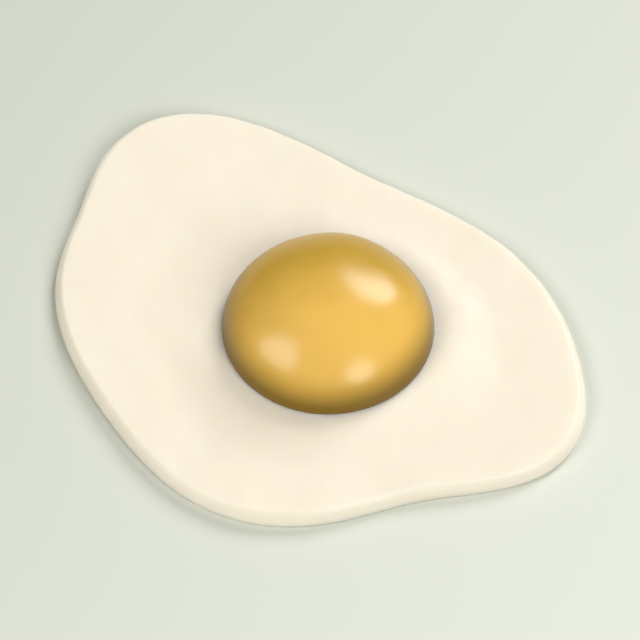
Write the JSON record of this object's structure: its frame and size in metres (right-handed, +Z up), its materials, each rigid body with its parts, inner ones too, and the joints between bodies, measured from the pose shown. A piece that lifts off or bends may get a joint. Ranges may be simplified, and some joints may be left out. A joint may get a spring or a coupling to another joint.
{
  "type": "fried egg",
  "caption": "Sunny-side-up fried egg: a flat, free-form puddle of cooked white with a rounded rim, and a whole domed yolk standing in a shallow bed in it.",
  "frame": {"origin": "on the flat underside of the white, at the middle of the egg's box in x and y", "axes": "+Z up, out of the yolk's top; +X along the longest side of the white; +Y across it, towards its longest lobe"},
  "size_m": [0.11, 0.1042, 0.0192],
  "materials": {
    "egg_white": "moist satin, cream white",
    "yolk": "soft gloss, golden yellow"
  },
  "bodies": {
    "root": {"egg_white": "egg_white", "yolk": "yolk"}
  },
  "joints": []
}
